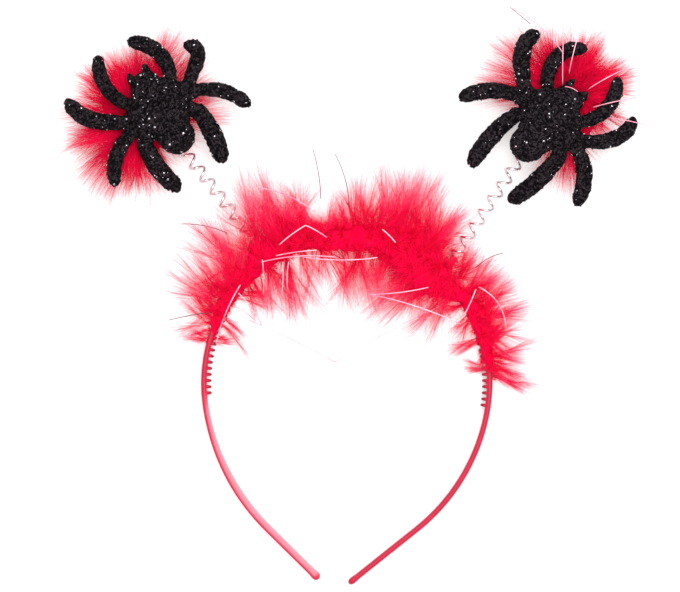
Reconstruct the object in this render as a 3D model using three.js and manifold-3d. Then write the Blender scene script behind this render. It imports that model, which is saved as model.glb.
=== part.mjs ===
import * as THREE from 'three';
import { mergeVertices } from 'three/addons/utils/BufferGeometryUtils.js';
import Module from 'manifold-3d';

// Spider headband: a comb-toothed hair band under a feather boa, with a glitter spider and a feather puff
// on each of two coil springs. Millimetres, +Z up. It lies flat, as it does on a table: X runs across the
// head, Y from the open ends to the crown, and the band rests on its lower edge.

const { Vector3 } = THREE;
const wasm = await Module();
wasm.setup();

const GAP = 0.4; // clearance between pieces that touch on the real headband
const FACET = 0.08; // facets flatter than this are merged

// Band: arcs from the middle of the crown outwards, then a straight end on each side
const CROWN_TOP = 70.2;
const CROWN_ARCS = [
  { radius: 62.3, sweep: 66.8 },
  { radius: 69, sweep: 32.6 },
];
const SIDES = {
  left: { hand: -1, arcs: [...CROWN_ARCS, { radius: 96, sweep: 36 }], straight: 31.5 },
  right: { hand: 1, arcs: [...CROWN_ARCS, { radius: 85.5, sweep: 42 }], straight: 38.5 },
};
const BAND_WIDTH = 7;
const BAND_THICK = 2.6;
const BAND_EDGE = 0.6;
const BAND_STEP = 7;
const BAND_TIP = { length: 1.8, size: 0.6 };
const BAND_LEAN = { from: -106, to: -150, angle: 11 }; // left arm's lean, its inner side up
const BAND_MIDDLE = BAND_WIDTH / 2;

// Comb teeth on the inner side, between two lengths from the crown
const TOOTH = { from: -105, to: 113, pitch: 2.8, height: 2, root: 1.6, tip: 1, width: 5.4, tipWidth: 4.4 };
const TOOTH_SUNK = 0.5;

// Coil springs: foot is the length from the crown, head the point under the spider
const SPRINGS = {
  left: { foot: -36, head: new Vector3(-75.6, 112.2, 10.9) },
  right: { foot: 46.9, head: new Vector3(79.7, 110, 10.9) },
};
const COIL = { radius: 2.6, wire: 0.8, turns: 9, steps: 8, sides: 5, start: 3.2 };
const POST = { radius: 1.75, length: 9, sides: 10 };

// Spiders: heading is the way the head points, in degrees from +X
const SPIDER_BASE = 14;
const SPIDERS = {
  left: { centre: [-81.5, 125], heading: 121.7 },
  right: { centre: [88.4, 120.2], heading: 48 },
};
const SPIDER_BODY = [
  { name: 'thorax', y: 2, wide: 14.5, long: 12, high: 4.6 },
  { name: 'head', y: 12.5, wide: 7, long: 6.2, high: 3.9 },
  { name: 'abdomen', y: -13.4, wide: 8.1, long: 8.1, high: 5.6 },
];
const FEELER = { x: 4, y: 18.2, radius: 1.9, tip: 1.1, length: 5.6, sides: 6, rise: 3.5 };
// Legs: hand is the side of the body, root the place beside it, and heading and bend are as on the right-hand
// side. A leg bends late if late is above 1, and keeps straight after the share of its length called done.
const LEG_HEIGHT = 5;
const LEGS = {
  left: [
    { hand: -1, root: [10.5, 9.2], width: 6, heading: 50, bend: 82, length: 28, late: 1, done: 1 },
    { hand: -1, root: [17, 4], width: 7, heading: 32, bend: 72, length: 28.5, late: 2, done: 1 },
    { hand: -1, root: [16.8, -2], width: 6.4, heading: -12, bend: -62, length: 25, late: 1, done: 1 },
    { hand: -1, root: [13.6, -8], width: 7.8, heading: -79, bend: -34, length: 27, late: 1, done: 1 },
    { hand: 1, root: [10.8, 9.4], width: 6.6, heading: 62, bend: 94, length: 28, late: 1, done: 1 },
    { hand: 1, root: [17.2, 4], width: 6.4, heading: 38, bend: 105, length: 21.5, late: 5, done: 0.8 },
    { hand: 1, root: [18.4, -1], width: 6.2, heading: -22, bend: -55, length: 24.8, late: 1, done: 1 },
    { hand: 1, root: [13.6, -8], width: 7.8, heading: -82, bend: -28, length: 26.5, late: 1, done: 1 },
  ],
  right: [
    { hand: -1, root: [9.4, 10.3], width: 6.4, heading: 33, bend: 120, length: 29.5, late: 1, done: 1 },
    { hand: -1, root: [18, 4], width: 7.2, heading: 40, bend: 112, length: 27.5, late: 3, done: 1 },
    { hand: -1, root: [18, -1], width: 6.8, heading: -21, bend: -50, length: 26.3, late: 1, done: 1 },
    { hand: -1, root: [12.4, -7], width: 7.4, heading: -76, bend: -30, length: 31.5, late: 1, done: 1 },
    { hand: 1, root: [10.8, 9.4], width: 6.2, heading: 49, bend: 92, length: 28, late: 1, done: 1 },
    { hand: 1, root: [17.9, 4], width: 6.6, heading: 41, bend: 95, length: 26.4, late: 2.1, done: 1 },
    { hand: 1, root: [18, -1], width: 6.8, heading: -19, bend: -64, length: 25.6, late: 1, done: 1 },
    { hand: 1, root: [13.4, -7], width: 7.6, heading: -82, bend: -28, length: 31.7, late: 1, done: 1 },
  ],
};
// Share of a leg's length and of its width at each ring, and how far towards its root it starts in the body
const LEG_PROFILE = [
  { at: 0, size: 0.88 },
  { at: 0.35, size: 1.05 },
  { at: 0.65, size: 1.06 },
  { at: 0.875, size: 0.92 },
  { at: 1, size: 0.45 },
];
const LEG_STEPS = 40;
const LEG_START = 0.45;
const LEG_SIDES = 6;

// Feather locks are three-sided and taper to a point: share of the length and width at each ring
const LOCK_PROFILE = [
  { at: 0, size: 0.6, bow: 0 },
  { at: 0.45, size: 0.8, bow: 1 },
  { at: 1, size: 0.12, bow: 0 },
];
const LOCK_SECTION = { wide: 0.6, high: 0.42 };

// Feather puffs behind the spiders: reach is how far the locks go in eight directions, from +X round
const PUFF_TOP = 13.6;
const PUFF = { core: 23, coreHeight: 0.56, locks: 18, lockWidth: 12, lockRoot: 0.8, sideways: 4, bow: 1.2 };
const PUFFS = {
  left: { centre: [-90.4, 122.6], reach: [32, 36, 36, 38, 41, 43, 40, 29] },
  right: { centre: [97, 131], reach: [36, 35, 37, 38, 44, 40, 44, 33] },
};

// Feather boa over the crown: length from the crown, then the reach of the dense down to each side of the
// band and above it, and how far the locks pass it
const BOA_SECTIONS = [
  { along: -86, out: 4, into: 6, height: 11, fringe: 13 },
  { along: -78, out: 9, into: 6, height: 17, fringe: 15 },
  { along: -66, out: 13, into: 6, height: 20, fringe: 16 },
  { along: -54, out: 14, into: 6, height: 22, fringe: 15 },
  { along: -44, out: 19, into: 7, height: 25, fringe: 13 },
  { along: -30, out: 17, into: 8, height: 26, fringe: 12 },
  { along: -18, out: 22, into: 11, height: 28, fringe: 11 },
  { along: -9, out: 10, into: 12, height: 25, fringe: 8 },
  { along: 0, out: 9, into: 12, height: 24, fringe: 8 },
  { along: 12, out: 20, into: 11, height: 28, fringe: 11 },
  { along: 22, out: 16, into: 13, height: 26, fringe: 10 },
  { along: 33, out: 18, into: 14, height: 27, fringe: 11 },
  { along: 42, out: 12, into: 15, height: 25, fringe: 10 },
  { along: 51, out: 6, into: 11, height: 22, fringe: 12 },
  { along: 62, out: 9, into: 7, height: 21, fringe: 12 },
  { along: 72, out: 13, into: 6, height: 21, fringe: 10 },
  { along: 82, out: 9, into: 6, height: 19, fringe: 12 },
  { along: 92, out: 10, into: 6, height: 18, fringe: 11 },
  { along: 101, out: 8, into: 6, height: 13, fringe: 9 },
];
// Locks of the boa by their slope over the floor, outer side first, and their share of the fringe
const BOA_LOCKS = [
  { slope: 12, share: 1 },
  { slope: 52, share: 0.6 },
  { slope: 112, share: 0.5 },
  { slope: 166, share: 0.6 },
];
const BOA_LOCK = { step: 10.4, width: 12, root: 0.75, sideways: 6, bow: 1.5, slopeScatter: 10 };
const BOA_TOP = 80;

const radians = THREE.MathUtils.degToRad;

// Repeatable scatter between -1 and 1
function scatter(count, salt) {
  const wave = Math.sin(count * 12.9898 + salt * 78.233) * 43758.5453;
  return 2 * (wave - Math.floor(wave)) - 1;
}

// Closed body through rings of points that turn counter-clockwise about the way of travel
function loft(rings) {
  const sides = rings[0].length;
  const points = rings.flat();
  const faces = [];
  for (let i = 0; i < rings.length - 1; i += 1) {
    for (let j = 0; j < sides; j += 1) {
      const a = i * sides + j;
      const b = i * sides + (j + 1) % sides;
      faces.push(a, b, b + sides, a, b + sides, a + sides);
    }
  }
  const last = points.length - sides;
  for (let j = 1; j < sides - 1; j += 1) {
    faces.push(0, j + 1, j, last, last + j, last + j + 1);
  }
  const geometry = new THREE.BufferGeometry().setFromPoints(points);
  geometry.setIndex(faces);
  return geometry;
}

// Ring of points round a centre, from an outline in two directions across the way of travel
function ring(centre, across, up, outline) {
  return outline.map(([u, v]) => centre.clone().addScaledVector(across, u).addScaledVector(up, v));
}

function ellipse(halfWidth, halfHeight, sides, start = 0) {
  return Array.from({ length: sides }, (_, k) => {
    const angle = (2 * Math.PI * k) / sides + start;
    return [halfWidth * Math.cos(angle), halfHeight * Math.sin(angle)];
  });
}

// Two directions across a way of travel, the first level and the second pointing up
function crossways(travel) {
  const level = new Vector3(0, 0, 1).cross(travel).normalize();
  return { level, up: travel.clone().normalize().cross(level) };
}

// Point of the band's centre line at a length from the crown, left of it negative, and the way outwards
function bandAt(length) {
  const side = length < 0 ? SIDES.left : SIDES.right;
  let rest = Math.abs(length);
  let heading = 0;
  let x = 0;
  let y = CROWN_TOP;
  for (const { radius, sweep } of side.arcs) {
    const turn = Math.min(rest / radius, radians(sweep));
    x += radius * (Math.sin(heading + turn) - Math.sin(heading));
    y += radius * (Math.cos(heading + turn) - Math.cos(heading));
    heading += turn;
    rest -= turn * radius;
  }
  x += rest * Math.cos(heading);
  y -= rest * Math.sin(heading);
  return {
    point: new Vector3(side.hand * x, y, 0),
    outward: new Vector3(side.hand * Math.sin(heading), Math.cos(heading), 0),
  };
}

function sideLength({ arcs, straight }) {
  return arcs.reduce((sum, { radius, sweep }) => sum + radius * radians(sweep), straight);
}

// Lengths along the band from one place to another, on the band's own steps between them
function bandStations(from, to) {
  const stations = [from];
  for (let k = Math.ceil((from + 1) / BAND_STEP); k * BAND_STEP < to - 1; k += 1) {
    stations.push(k * BAND_STEP);
  }
  return [...stations, to];
}

// Body with one section carried along the band
function alongBand(stations, outlineAt) {
  return loft(stations.map((length) => {
    const { point, outward } = bandAt(length);
    return ring(point, outward, new Vector3(0, 0, 1), outlineAt(length));
  }));
}

function solid(geometry) {
  const bare = new THREE.BufferGeometry();
  bare.setAttribute('position', geometry.getAttribute('position'));
  bare.setIndex(geometry.getIndex());
  const merged = mergeVertices(bare, 1e-4);
  const vertProperties = new Float32Array(merged.getAttribute('position').array);
  const triVerts = new Uint32Array(merged.getIndex().array);
  return new wasm.Manifold(new wasm.Mesh({ numProp: 3, vertProperties, triVerts }));
}

function fuse(geometries) {
  return geometries.map(solid).reduce((sum, next) => sum.add(next));
}

// A cut body without the crumbs that the cut leaves beside it
function largest(body) {
  return body.decompose().reduce((a, b) => (a.volume() > b.volume() ? a : b));
}

function toMesh(body, name, material) {
  const { vertProperties, triVerts } = body.simplify(FACET).getMesh();
  const geometry = new THREE.BufferGeometry();
  geometry.setAttribute('position', new THREE.BufferAttribute(vertProperties, 3));
  geometry.setIndex(new THREE.BufferAttribute(triVerts, 1));
  const mesh = new THREE.Mesh(geometry, material);
  mesh.name = name;
  return mesh;
}

function finish(color, roughness, metalness) {
  return new THREE.MeshStandardMaterial({ color, roughness, metalness });
}

function slab(low, high) {
  const reach = 400;
  return new THREE.BoxGeometry(reach, reach, high - low).translate(0, 0, (low + high) / 2);
}

// Line that a spring's coils turn about, from the band's centre line to the spider
function springAxis({ foot, head }) {
  const start = bandAt(foot).point.setZ(BAND_MIDDLE);
  const travel = head.clone().sub(start);
  const length = travel.length();
  travel.normalize();
  return { start, travel, length, ...crossways(travel) };
}

// Straight trough round a spring, as deep below and above its axis as asked
function trough(spring, below, above, past) {
  const { start, travel, length, level, up } = springAxis(spring);
  const half = COIL.radius + COIL.wire / 2 + GAP;
  const outline = [[half, below], [half, above], [-half, above], [-half, below]];
  const ends = [start, start.clone().addScaledVector(travel, length + past)];
  return loft(ends.map((centre) => ring(centre, level, up, outline)));
}

// Chamfered section of the band, drawn in at its tips
function bandSection(length) {
  const toTip = Math.min(length + sideLength(SIDES.left), sideLength(SIDES.right) - length);
  const size = toTip < 0.1 ? BAND_TIP.size : 1;
  const halfThick = BAND_THICK / 2;
  const flat = halfThick - BAND_EDGE;
  const halfWidth = BAND_WIDTH / 2;
  const side = halfWidth - BAND_EDGE;
  const outline = [
    [halfThick, -side], [halfThick, side], [flat, halfWidth], [-flat, halfWidth],
    [-halfThick, side], [-halfThick, -side], [-flat, -halfWidth], [flat, -halfWidth],
  ];
  const lean = radians(BAND_LEAN.angle) * THREE.MathUtils.smoothstep(-length, -BAND_LEAN.from, -BAND_LEAN.to);
  const leaning = outline.map(([u, v]) => (
    [size * (u * Math.cos(lean) + v * Math.sin(lean)), size * (v * Math.cos(lean) - u * Math.sin(lean))]
  ));
  const lowest = Math.min(...leaning.map(([, v]) => v));
  const lift = (size < 1 ? halfWidth : -lowest);
  return leaning.map(([u, v]) => [u, v + lift]);
}

function combTooth(length) {
  const { point, outward } = bandAt(length);
  const along = new Vector3(outward.y, -outward.x, 0);
  const inward = outward.clone().negate();
  const face = BAND_THICK / 2;
  const rows = [
    { depth: face - TOOTH_SUNK, half: TOOTH.root / 2, halfWidth: TOOTH.width / 2 },
    { depth: face + TOOTH.height, half: TOOTH.tip / 2, halfWidth: TOOTH.tipWidth / 2 },
  ];
  return loft(rows.map(({ depth, half, halfWidth }) => {
    const centre = point.clone().addScaledVector(inward, depth).setZ(BAND_MIDDLE);
    const outline = [[half, -halfWidth], [half, halfWidth], [-half, halfWidth], [-half, -halfWidth]];
    return ring(centre, along, new Vector3(0, 0, 1), outline);
  }));
}

function springPost(spring) {
  const { start, travel, level, up } = springAxis(spring);
  const ends = [start, start.clone().addScaledVector(travel, POST.length)];
  return loft(ends.map((centre) => ring(centre, level, up, ellipse(POST.radius, POST.radius, POST.sides))));
}

function band() {
  const first = -sideLength(SIDES.left);
  const last = sideLength(SIDES.right);
  const stations = [first, ...bandStations(first + BAND_TIP.length, last - BAND_TIP.length), last];
  const pieces = [alongBand(stations, bandSection)];
  for (let length = TOOTH.from; length <= TOOTH.to; length += TOOTH.pitch) {
    pieces.push(combTooth(length));
  }
  pieces.push(springPost(SPRINGS.left), springPost(SPRINGS.right));
  return toMesh(fuse(pieces), 'band', finish(0xd81f3a, 0.25, 0));
}

function coilSpring(side) {
  const { start, travel, length, level, up } = springAxis(SPRINGS[side]);
  const run = length - COIL.start;
  const count = COIL.turns * COIL.steps;
  const wire = ellipse(COIL.wire / 2, COIL.wire / 2, COIL.sides);
  const rings = Array.from({ length: count + 1 }, (_, k) => {
    const angle = (2 * Math.PI * k) / COIL.steps;
    const radial = level.clone().multiplyScalar(Math.cos(angle)).addScaledVector(up, Math.sin(angle));
    const round = up.clone().multiplyScalar(Math.cos(angle)).addScaledVector(level, -Math.sin(angle));
    const pitch = run / (2 * Math.PI * COIL.turns);
    const wireWay = round.multiplyScalar(COIL.radius).addScaledVector(travel, pitch).normalize();
    const centre = start.clone().addScaledVector(travel, COIL.start + (run * k) / count);
    centre.addScaledVector(radial, COIL.radius);
    return ring(centre, radial, wireWay.cross(radial), wire);
  });
  return toMesh(solid(loft(rings)), `spring_${side}`, finish(0xc9c4c6, 0.3, 1));
}

// Leg from inside the body along an arc, with a round tip
function spiderLeg({ hand, root, width, heading, bend, length, late, done }) {
  const outlineAt = (size) => ellipse((size * width) / 2, (size * LEG_HEIGHT) / 2, LEG_SIDES);
  const place = new Vector3(hand * root[0], root[1], LEG_HEIGHT / 2);
  const start = new Vector3(LEG_START * place.x, LEG_START * place.y, place.z);
  const first = crossways(place.clone().sub(start));
  const rings = [ring(start, first.level, first.up, outlineAt(LEG_PROFILE[0].size))];
  for (let k = 0; k <= LEG_STEPS; k += 1) {
    const angle = radians(heading + bend * Math.min(k / LEG_STEPS / done, 1) ** late);
    const travel = new Vector3(hand * Math.cos(angle), Math.sin(angle), 0);
    const row = LEG_PROFILE.find(({ at }) => Math.round(at * LEG_STEPS) === k);
    if (row) {
      const { level, up } = crossways(travel);
      rings.push(ring(place, level, up, outlineAt(row.size)));
    }
    place.addScaledVector(travel, length / LEG_STEPS);
  }
  return loft(rings);
}

function spider(side) {
  const pieces = SPIDER_BODY.map(({ y, wide, long, high }) => (
    new THREE.SphereGeometry(1, 12, 7).rotateX(Math.PI / 2).scale(wide, long, high).translate(0, y, high)
  ));
  pieces.push(...LEGS[side].map(spiderLeg));
  for (const hand of [-1, 1]) {
    const feeler = new THREE.CylinderGeometry(FEELER.tip, FEELER.radius, FEELER.length, FEELER.sides);
    pieces.push(feeler.translate(hand * FEELER.x, FEELER.y, FEELER.rise));
  }
  const mesh = toMesh(fuse(pieces), `spider_${side}`, finish(0x1b191c, 0.45, 0.1));
  const { centre, heading } = SPIDERS[side];
  mesh.rotation.z = radians(heading - 90);
  mesh.position.set(...centre, SPIDER_BASE);
  return mesh;
}

// Tapered feather lock from a root to a point, bowed in between
function featherLock(root, tip, width, bow) {
  const { level, up } = crossways(tip.clone().sub(root));
  return loft(LOCK_PROFILE.map(({ at, size, bow: share }) => {
    const centre = root.clone().lerp(tip, at).addScaledVector(up, share * bow);
    const { wide, high } = LOCK_SECTION;
    return ring(centre, level, up, ellipse(size * width * wide, size * width * high, 3, Math.PI / 2));
  }));
}

function puffReach(reach, angle) {
  const place = (angle / (2 * Math.PI)) * reach.length;
  const index = Math.floor(place);
  return THREE.MathUtils.lerp(reach[index % reach.length], reach[(index + 1) % reach.length], place - index);
}

function featherPuff(side) {
  const { centre, reach } = PUFFS[side];
  const middle = new Vector3(...centre, PUFF_TOP / 2);
  const core = new THREE.SphereGeometry(1, 14, 6).rotateX(Math.PI / 2);
  core.scale(PUFF.core, PUFF.core, PUFF_TOP * PUFF.coreHeight).translate(...middle);
  const pieces = [core];
  for (let k = 0; k < PUFF.locks; k += 1) {
    const angle = (2 * Math.PI * (k + 0.5)) / PUFF.locks;
    const way = new Vector3(Math.cos(angle), Math.sin(angle), 0);
    const root = middle.clone().addScaledVector(way, PUFF.core * PUFF.lockRoot);
    const tip = middle.clone().addScaledVector(way, puffReach(reach, angle) * (0.92 + 0.1 * scatter(k, 1)));
    tip.z = PUFF_TOP * (0.5 + 0.3 * scatter(k, 2));
    root.z = PUFF_TOP * (k % 2 ? 0.65 : 0.35);
    tip.addScaledVector(new Vector3(-way.y, way.x, 0), PUFF.sideways * scatter(k, 3));
    pieces.push(featherLock(root, tip, PUFF.lockWidth, PUFF.bow * scatter(k, 4)));
  }
  const body = fuse(pieces).intersect(solid(slab(0, PUFF_TOP)));
  const slot = trough(SPRINGS[side], -COIL.radius - COIL.wire / 2 - GAP, PUFF_TOP, 3);
  return toMesh(largest(body.subtract(solid(slot))), `feather_puff_${side}`, finish(0xe3002d, 0.9, 0));
}

// Boa's section at a length from the crown, between the rows of the table
function boaSection(length) {
  const next = BOA_SECTIONS.findIndex(({ along }) => along > length);
  const last = BOA_SECTIONS.length - 1;
  const index = next < 0 ? last : Math.max(1, next);
  const a = BOA_SECTIONS[index - 1];
  const b = BOA_SECTIONS[index];
  const share = (length - a.along) / (b.along - a.along);
  const blend = (column) => THREE.MathUtils.lerp(a[column], b[column], share);
  return { out: blend('out'), into: blend('into'), height: blend('height'), fringe: blend('fringe') };
}

function boaOutline(length) {
  const { out, into, height } = boaSection(length);
  return [
    [out, 0], [out, height * 0.35], [out * 0.65, height * 0.8], [(out - into) * 0.15, height],
    [-into * 0.65, height * 0.8], [-into, height * 0.35], [-into, 0],
  ];
}

// Lock from the band outwards, at a slope over the floor in the plane across the band
function boaLock(length, count, { slope, share }) {
  const { point, outward } = bandAt(length);
  const along = new Vector3(outward.y, -outward.x, 0);
  const { out, into, height, fringe } = boaSection(length);
  const angle = radians(slope + BOA_LOCK.slopeScatter * scatter(count, 1));
  const side = Math.cos(angle) > 0 ? out : into;
  const down = 1 / Math.hypot(Math.cos(angle) / side, Math.sin(angle) / height);
  const reach = down + share * fringe * (0.9 + 0.4 * scatter(count, 2));
  const way = outward.clone().multiplyScalar(Math.cos(angle)).setZ(Math.sin(angle));
  const base = point.clone().setZ(BAND_MIDDLE);
  const root = base.clone().addScaledVector(way, down * BOA_LOCK.root);
  const tip = base.addScaledVector(way, reach).addScaledVector(along, BOA_LOCK.sideways * scatter(count, 3));
  return featherLock(root, tip, BOA_LOCK.width, BOA_LOCK.bow * scatter(count, 4));
}

function featherBoa() {
  const first = BOA_SECTIONS[0].along;
  const last = BOA_SECTIONS[BOA_SECTIONS.length - 1].along;
  const pieces = [alongBand(BOA_SECTIONS.map(({ along }) => along), boaOutline)];
  let count = 0;
  for (let length = first + 3; length < last; length += BOA_LOCK.step) {
    for (const row of BOA_LOCKS) {
      count += 1;
      pieces.push(boaLock(length + 2 * scatter(count, 5), count, row));
    }
  }
  const outer = BAND_THICK / 2 + GAP;
  const inner = -BAND_THICK / 2 - TOOTH.height - GAP;
  const top = BAND_WIDTH + GAP;
  const channel = alongBand(bandStations(first - 20, last + 20), () => (
    [[outer, -1], [outer, top], [inner, top], [inner, -1]]
  ));
  const slotTop = COIL.radius + COIL.wire / 2 + GAP;
  const cuts = fuse([channel, trough(SPRINGS.left, -20, slotTop, 0), trough(SPRINGS.right, -20, slotTop, 0)]);
  const body = fuse(pieces).intersect(solid(slab(0, BOA_TOP))).subtract(cuts);
  return toMesh(largest(body), 'feather_boa', finish(0xe3002d, 0.9, 0));
}

const headband = new THREE.Group();
headband.add(band(), featherBoa());
for (const side of ['left', 'right']) {
  headband.add(coilSpring(side), spider(side), featherPuff(side));
}

// The origin is on the floor under the middle of the whole headband
const box = new THREE.Box3().setFromObject(headband, true);
const middle = box.getCenter(new Vector3());
headband.position.set(-middle.x, -middle.y, -box.min.z);

export default headband;
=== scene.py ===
import bpy
import numpy as np
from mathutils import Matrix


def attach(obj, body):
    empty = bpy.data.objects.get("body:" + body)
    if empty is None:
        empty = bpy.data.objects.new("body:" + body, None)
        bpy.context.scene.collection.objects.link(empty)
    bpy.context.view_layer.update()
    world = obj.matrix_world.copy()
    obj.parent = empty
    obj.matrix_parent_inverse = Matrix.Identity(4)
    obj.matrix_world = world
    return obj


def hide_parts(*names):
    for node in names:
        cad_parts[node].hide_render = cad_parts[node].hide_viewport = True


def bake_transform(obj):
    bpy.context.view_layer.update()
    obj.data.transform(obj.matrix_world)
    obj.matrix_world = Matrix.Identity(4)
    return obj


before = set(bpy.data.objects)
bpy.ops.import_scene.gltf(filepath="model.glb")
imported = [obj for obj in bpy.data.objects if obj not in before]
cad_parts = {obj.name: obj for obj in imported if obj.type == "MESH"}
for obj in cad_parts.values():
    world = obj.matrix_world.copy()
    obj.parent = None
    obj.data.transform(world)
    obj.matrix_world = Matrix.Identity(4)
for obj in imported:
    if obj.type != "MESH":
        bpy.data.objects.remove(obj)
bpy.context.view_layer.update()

# all tables are in millimetres, drawn about the middle of the head space, which lies here in the frame
drawing = {"mm": 0.001, "middle": np.array([0.598, -40.696, 0.0])}
up = np.array([0.0, 0.0, 1.0])


def toFrame(points):
    # drawing millimetres to frame metres: add the middle's place, then scale
    return (np.asarray(points, dtype=float) + drawing["middle"]) * drawing["mm"]


def unit(vectors):
    # each vector over its own length
    return vectors / np.linalg.norm(vectors, axis=-1, keepdims=True)


def crossways(travel):
    # two directions across a way of travel: the first level, the second pointing up
    level = unit(np.cross(up, travel))
    return level, np.cross(unit(travel), level)


def waves(points, length, draw, count=7):
    # soft noise, mostly from -1 to 1: sines of random ways across space, one wave length, random phases
    ways = unit(draw.normal(size=(count, 3))) * (2 * np.pi / length)
    phases = draw.uniform(0, 2 * np.pi, count)
    return np.sin(points @ ways.T + phases).sum(axis=-1) / np.sqrt(count * 2)


def smoothRise(value, low, high):
    # 0 below low, 1 above high, 3t^2 - 2t^3 between
    share = np.clip((value - low) / (high - low), 0, 1)
    return share * share * (3 - 2 * share)


def superEllipse(halfWide, halfHigh, power, sides):
    # |x/a|^p + |y/b|^p = 1, walked counter-clockwise
    angle = np.linspace(0, 2 * np.pi, sides, endpoint=False)
    cosine, sine = np.cos(angle), np.sin(angle)
    return np.stack([
        halfWide * np.sign(cosine) * np.abs(cosine) ** (2 / power),
        halfHigh * np.sign(sine) * np.abs(sine) ** (2 / power),
    ], axis=-1)


def circle(radius, sides):
    # x^2 + y^2 = r^2
    return superEllipse(radius, radius, 2.0, sides)


def ball(rings, corners):
    # x^2 + y^2 + z^2 = 1 as latitude rings, without the poles
    latitude = np.linspace(-np.pi / 2, np.pi / 2, rings + 2)[1:-1, None]
    longitude = np.linspace(0, 2 * np.pi, corners, endpoint=False)
    level = np.cos(latitude)
    places = (level * np.cos(longitude), level * np.sin(longitude), np.sin(latitude))
    return np.stack(np.broadcast_arrays(*places), axis=-1)


def layOut(first, second, section):
    # a section's corners in space: the first way times their x plus the second way times their y
    return first[..., None, :] * section[:, :1] + second[..., None, :] * section[:, 1:]


def skinTubes(rings, firstPole, lastPole):
    # many tubes at once, rings[tube, ring, corner]: quads join each ring to the next, and a fan on a pole
    # closes each end. Corners turn counter-clockwise about the way of travel, so faces point outwards
    tubes, count, corners, _ = rings.shape
    start = np.arange(tubes)[:, None, None] * (count * corners + 2)
    ring = start + np.arange(count)[None, :, None] * corners
    here = np.arange(corners)[None, None, :]
    there = (here + 1) % corners
    low, high = ring[:, :-1], ring[:, 1:]
    quads = np.stack([low + here, low + there, high + there, high + here], axis=-1)
    firstIndex = start + count * corners
    first = np.stack(np.broadcast_arrays(firstIndex, start + there, start + here), axis=-1)
    end = ring[:, -1:]
    last = np.stack(np.broadcast_arrays(firstIndex + 1, end + here, end + there), axis=-1)
    flat = rings.reshape(tubes, -1, 3)
    points = np.concatenate([flat, firstPole[:, None], lastPole[:, None]], axis=1).reshape(-1, 3)
    return points, [quads.reshape(-1, 4), np.concatenate([first.reshape(-1, 3), last.reshape(-1, 3)])]


def joinParts(parts):
    # one mesh from several: the faces of each part count on from the points before it
    points, faceSets, start = [], [], 0
    for place, faces in parts:
        points.append(place)
        faceSets += [face + start for face in faces]
        start += len(place)
    return np.concatenate(points), faceSets


def fillMesh(mesh, points, faceSets):
    # points and faces straight into a mesh; faces come in sets of one size each
    corners = np.concatenate([faces.ravel() for faces in faceSets])
    sizes = np.concatenate([np.full(len(faces), faces.shape[1]) for faces in faceSets])
    mesh.vertices.add(len(points))
    mesh.vertices.foreach_set("co", points.astype(np.float32).ravel())
    mesh.loops.add(len(corners))
    mesh.loops.foreach_set("vertex_index", corners.astype(np.int32))
    mesh.polygons.add(len(sizes))
    mesh.polygons.foreach_set("loop_start", (np.cumsum(sizes) - sizes).astype(np.int32))
    mesh.polygons.foreach_set("use_smooth", np.ones(len(sizes), dtype=bool))
    mesh.update(calc_edges=True)
    return corners, int((sizes - 2).sum())


def putPiece(name, points, faceSets, material, slot, uv=None, tint=None):
    # a finished piece at the origin, its place in its mesh; uv holds a pair for each point, tint a number
    mesh = bpy.data.meshes.new(name)
    corners, triangles = fillMesh(mesh, toFrame(points), faceSets)
    if tint is not None:
        mesh.attributes.new("tint", "FLOAT", "POINT").data.foreach_set("value", tint.astype(np.float32))
    if uv is not None:
        mesh.uv_layers.new(name="OFBake").data.foreach_set("uv", uv[corners].astype(np.float32).ravel())
    mesh.materials.append(material)
    piece = bpy.data.objects.new(name, mesh)
    bpy.context.collection.objects.link(piece)
    print(f"{name}: {triangles} triangles")
    return piece


def linearColour(hexText):
    # sRGB to linear: c / 12.92 up to 0.04045, else ((c + 0.055) / 1.055) ^ 2.4
    srgb = np.array([int(hexText[k:k + 2], 16) for k in (1, 3, 5)]) / 255
    linear = np.where(srgb <= 0.04045, srgb / 12.92, ((srgb + 0.055) / 1.055) ** 2.4)
    return (*linear.tolist(), 1.0)


def addNode(tree, kind, settings, links):
    # one node: stops fill a colour ramp, other settings go to the socket or property of that name,
    # and each link feeds the socket of that name or number
    node = tree.nodes.new(kind)
    for name, value in settings.items():
        if name == "stops":
            while len(node.color_ramp.elements) < len(value):
                node.color_ramp.elements.new(0.5)
            for element, (place, colour) in zip(node.color_ramp.elements, value):
                element.position = place
                element.color = linearColour(colour)
        elif isinstance(name, int) or name in node.inputs:
            node.inputs[name].default_value = value
        else:
            setattr(node, name, value)
    for name, source in links.items():
        tree.links.new(source, node.inputs[name])
    return node


def noise(tree, size, settings):
    # lumps of about this many millimetres, read from the piece's own coordinates
    place = addNode(tree, "ShaderNodeTexCoord", {}, {})
    lumps = {"Scale": 1 / (size * drawing["mm"]), **settings}
    return addNode(tree, "ShaderNodeTexNoise", lumps, {"Vector": place.outputs["Object"]}).outputs["Fac"]


def ownMap(tree):
    # the two numbers of the piece's own uv
    place = addNode(tree, "ShaderNodeUVMap", {"uv_map": "OFBake"}, {})
    split = addNode(tree, "ShaderNodeSeparateXYZ", {}, {"Vector": place.outputs["UV"]})
    return split.outputs["X"], split.outputs["Y"]


def ramp(tree, source, stops):
    # colours along a number from 0 to 1, each stop a place and an sRGB hex
    return addNode(tree, "ShaderNodeValToRGB", {"stops": stops}, {"Fac": source}).outputs["Color"]


def between(tree, source, low, high):
    # low + (high - low) * source
    scaled = addNode(tree, "ShaderNodeMapRange", {"To Min": low, "To Max": high}, {"Value": source})
    return scaled.outputs["Result"]


def relief(tree, source, strength, depth):
    # bumps as high as the source, their depth in millimetres
    height = {"Strength": strength, "Distance": depth * drawing["mm"]}
    return addNode(tree, "ShaderNodeBump", height, {"Height": source}).outputs["Normal"]


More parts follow.
